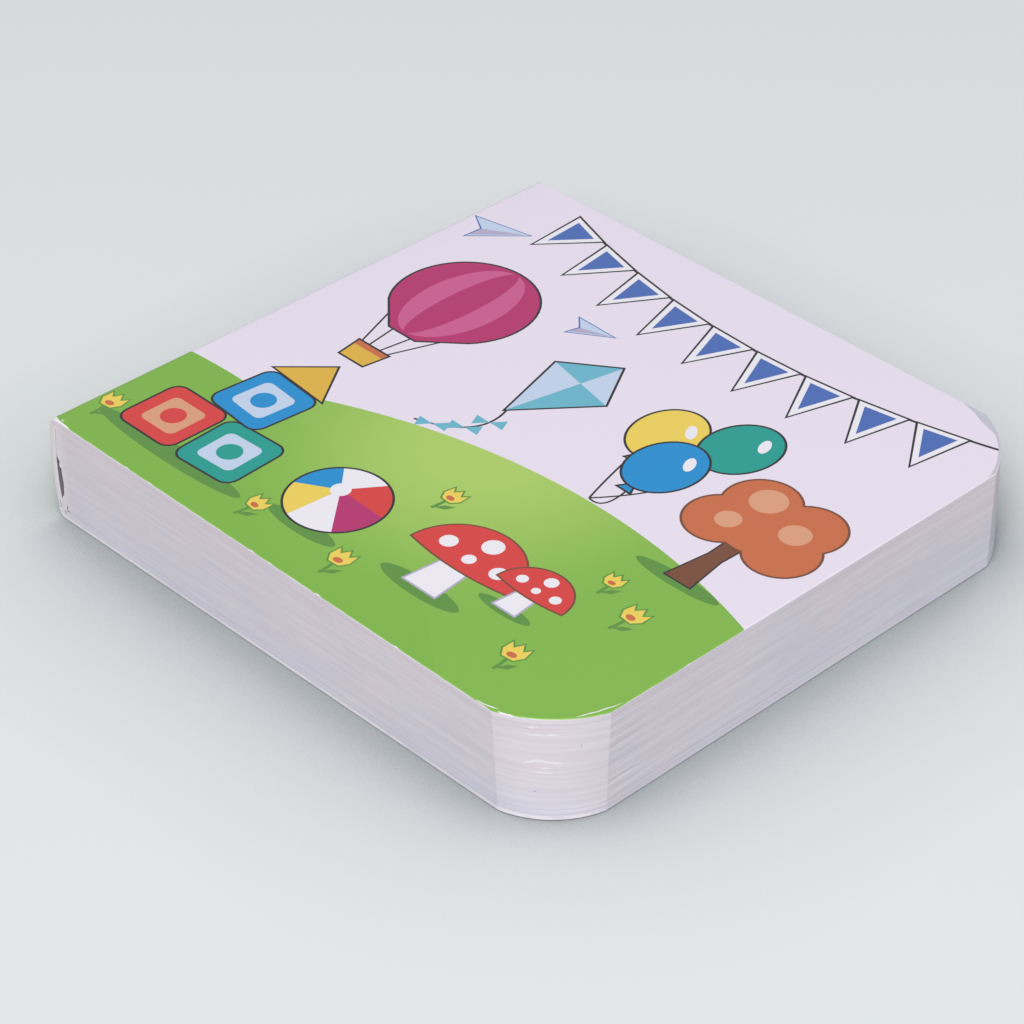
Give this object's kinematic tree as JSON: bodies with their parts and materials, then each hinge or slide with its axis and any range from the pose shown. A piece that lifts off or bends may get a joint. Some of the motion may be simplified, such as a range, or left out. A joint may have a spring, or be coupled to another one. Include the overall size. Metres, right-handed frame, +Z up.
{
  "type": "board book",
  "caption": "Small, nearly square board book for small children: thick board leaves in a wrap-around card cover with rounded fore-edge corners; both covers open.",
  "frame": {"origin": "middle of the underside of the closed book's bounding box", "axes": "+X from the spine to the fore-edge, +Y from the tail to the head, +Z up, out of the front cover"},
  "size_m": [0.0962, 0.09, 0.0162],
  "materials": {
    "leaf_board": "matt trimmed board edges, satin printed faces",
    "cover_card": "gloss film over pale print",
    "front_print": "gloss film over print in plain fields of colour"
  },
  "bodies": {
    "page_block": {"page_block": "leaf_board", "spine": "cover_card"},
    "front_cover": {"front_cover": "front_print"},
    "back_cover": {"back_cover": "cover_card"}
  },
  "joints": [
    {"name": "front_cover_hinge", "type": "hinge", "parent": "page_block", "child": "front_cover", "pos_m": [-0.04788, 0, 0.01465], "axis": [0, -1, 0], "range_deg": [0, 178]},
    {"name": "back_cover_hinge", "type": "hinge", "parent": "page_block", "child": "back_cover", "pos_m": [-0.04788, 0, 0.00155], "axis": [0, 1, 0], "range_deg": [0, 178]}
  ]
}
